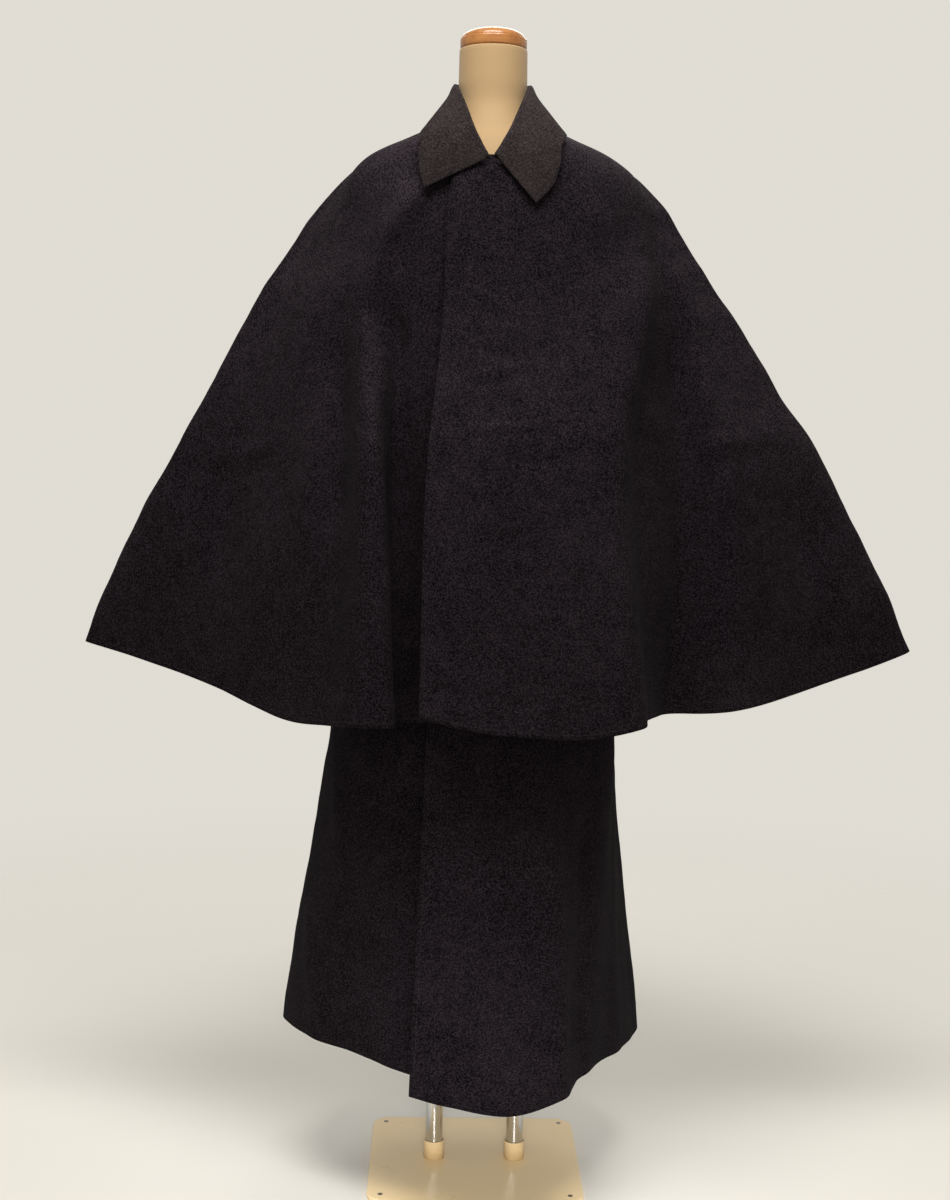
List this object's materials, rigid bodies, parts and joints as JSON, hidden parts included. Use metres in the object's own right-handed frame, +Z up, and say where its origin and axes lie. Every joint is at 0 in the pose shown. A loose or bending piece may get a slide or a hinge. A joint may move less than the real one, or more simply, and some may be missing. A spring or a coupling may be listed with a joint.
{
  "type": "inverness cape on dress form",
  "caption": "Long black inverness cape of the sleeveless Japanese cut, worn closed left over right by a limbless dress form on two poles and a square plate.",
  "frame": {"origin": "centre of the base plate's underside, on the floor", "axes": "+Z up, the wearer faces -Y, the wearer's left is +X"},
  "size_m": [1.175, 0.4862, 1.6008],
  "materials": {
    "coat_wool": "napped black wool overcoating, matte with a soft sheen",
    "collar_wool": "the coat's black wool with its nap brushed up, matte",
    "form_cover": "smooth beige stretch cover",
    "cap_wood": "turned, satin varnish",
    "pole_chrome": "polished tube",
    "stand_paint": "satin beige"
  },
  "bodies": {
    "root": {"form_torso": "form_cover", "form_neck_cap": "cap_wood", "pole_left": "pole_chrome", "pole_right": "pole_chrome", "socket_left": "stand_paint", "socket_right": "stand_paint", "base_plate": "stand_paint", "front_left": "coat_wool", "back": "coat_wool", "front_right": "coat_wool", "cape_left": "coat_wool", "cape_right": "coat_wool", "collar": "collar_wool"}
  },
  "joints": []
}
